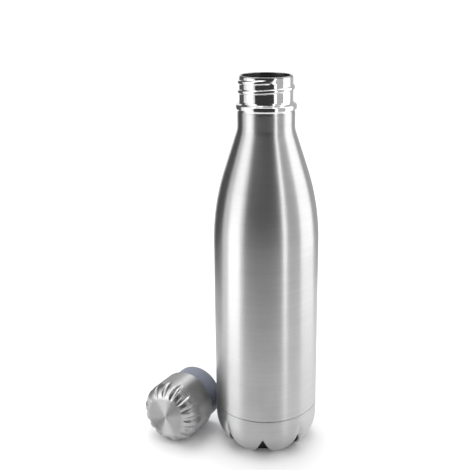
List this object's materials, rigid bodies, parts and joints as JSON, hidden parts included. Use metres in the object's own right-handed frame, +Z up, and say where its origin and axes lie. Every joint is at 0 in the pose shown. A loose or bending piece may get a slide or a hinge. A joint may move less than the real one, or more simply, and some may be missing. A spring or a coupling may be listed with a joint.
{
  "type": "insulated water bottle",
  "caption": "Double-wall steel water bottle with a tapered shoulder, threaded neck and petal base, its screw cap lying beside it.",
  "frame": {"origin": "on the bottle's axis, on the surface it stands on", "axes": "+Z up along the bottle's axis, towards the mouth; the cap lies on the -X side; -Y is the side that is looked at"},
  "size_m": [0.1343, 0.078, 0.2855],
  "materials": {
    "brushed_body": "satin",
    "brushed_base": "satin",
    "polished_neck": "polished",
    "flask_steel": "satin",
    "copper": "satin",
    "hidden_steel": "satin",
    "seal_glass": "gloss",
    "getter_metal": "matte",
    "cap_steel": "satin",
    "liner_plastic": "matte",
    "foam": "matte",
    "gasket_rubber": "matte"
  },
  "bodies": {
    "bottle": {"outer_shell": "brushed_body", "base_cup": "brushed_base", "threaded_neck": "polished_neck", "inner_flask": "flask_steel", "copper_shield": "copper", "outer_bottom": "hidden_steel", "vacuum_seal": "seal_glass", "getter_holder": "hidden_steel", "getter": "getter_metal"},
    "seal": {"cap_gasket": "gasket_rubber"},
    "cap": {"cap_shell": "cap_steel", "cap_liner": "liner_plastic", "cap_foam": "foam"}
  },
  "joints": [
    {"name": "cap_carry", "type": "hinge", "parent": "bottle", "child": "seal", "pos_m": [0.09633, 0.17672, 0.2146], "axis": [-0.9338, 0.3235, 0.1527], "range_deg": [0, 91.37]},
    {"name": "cap_turn", "type": "hinge", "parent": "seal", "child": "cap", "pos_m": [-0.05612, 0.02515, 0.0236], "axis": [0.4695, 0.8829, 0], "range_deg": [0, 540]}
  ]
}
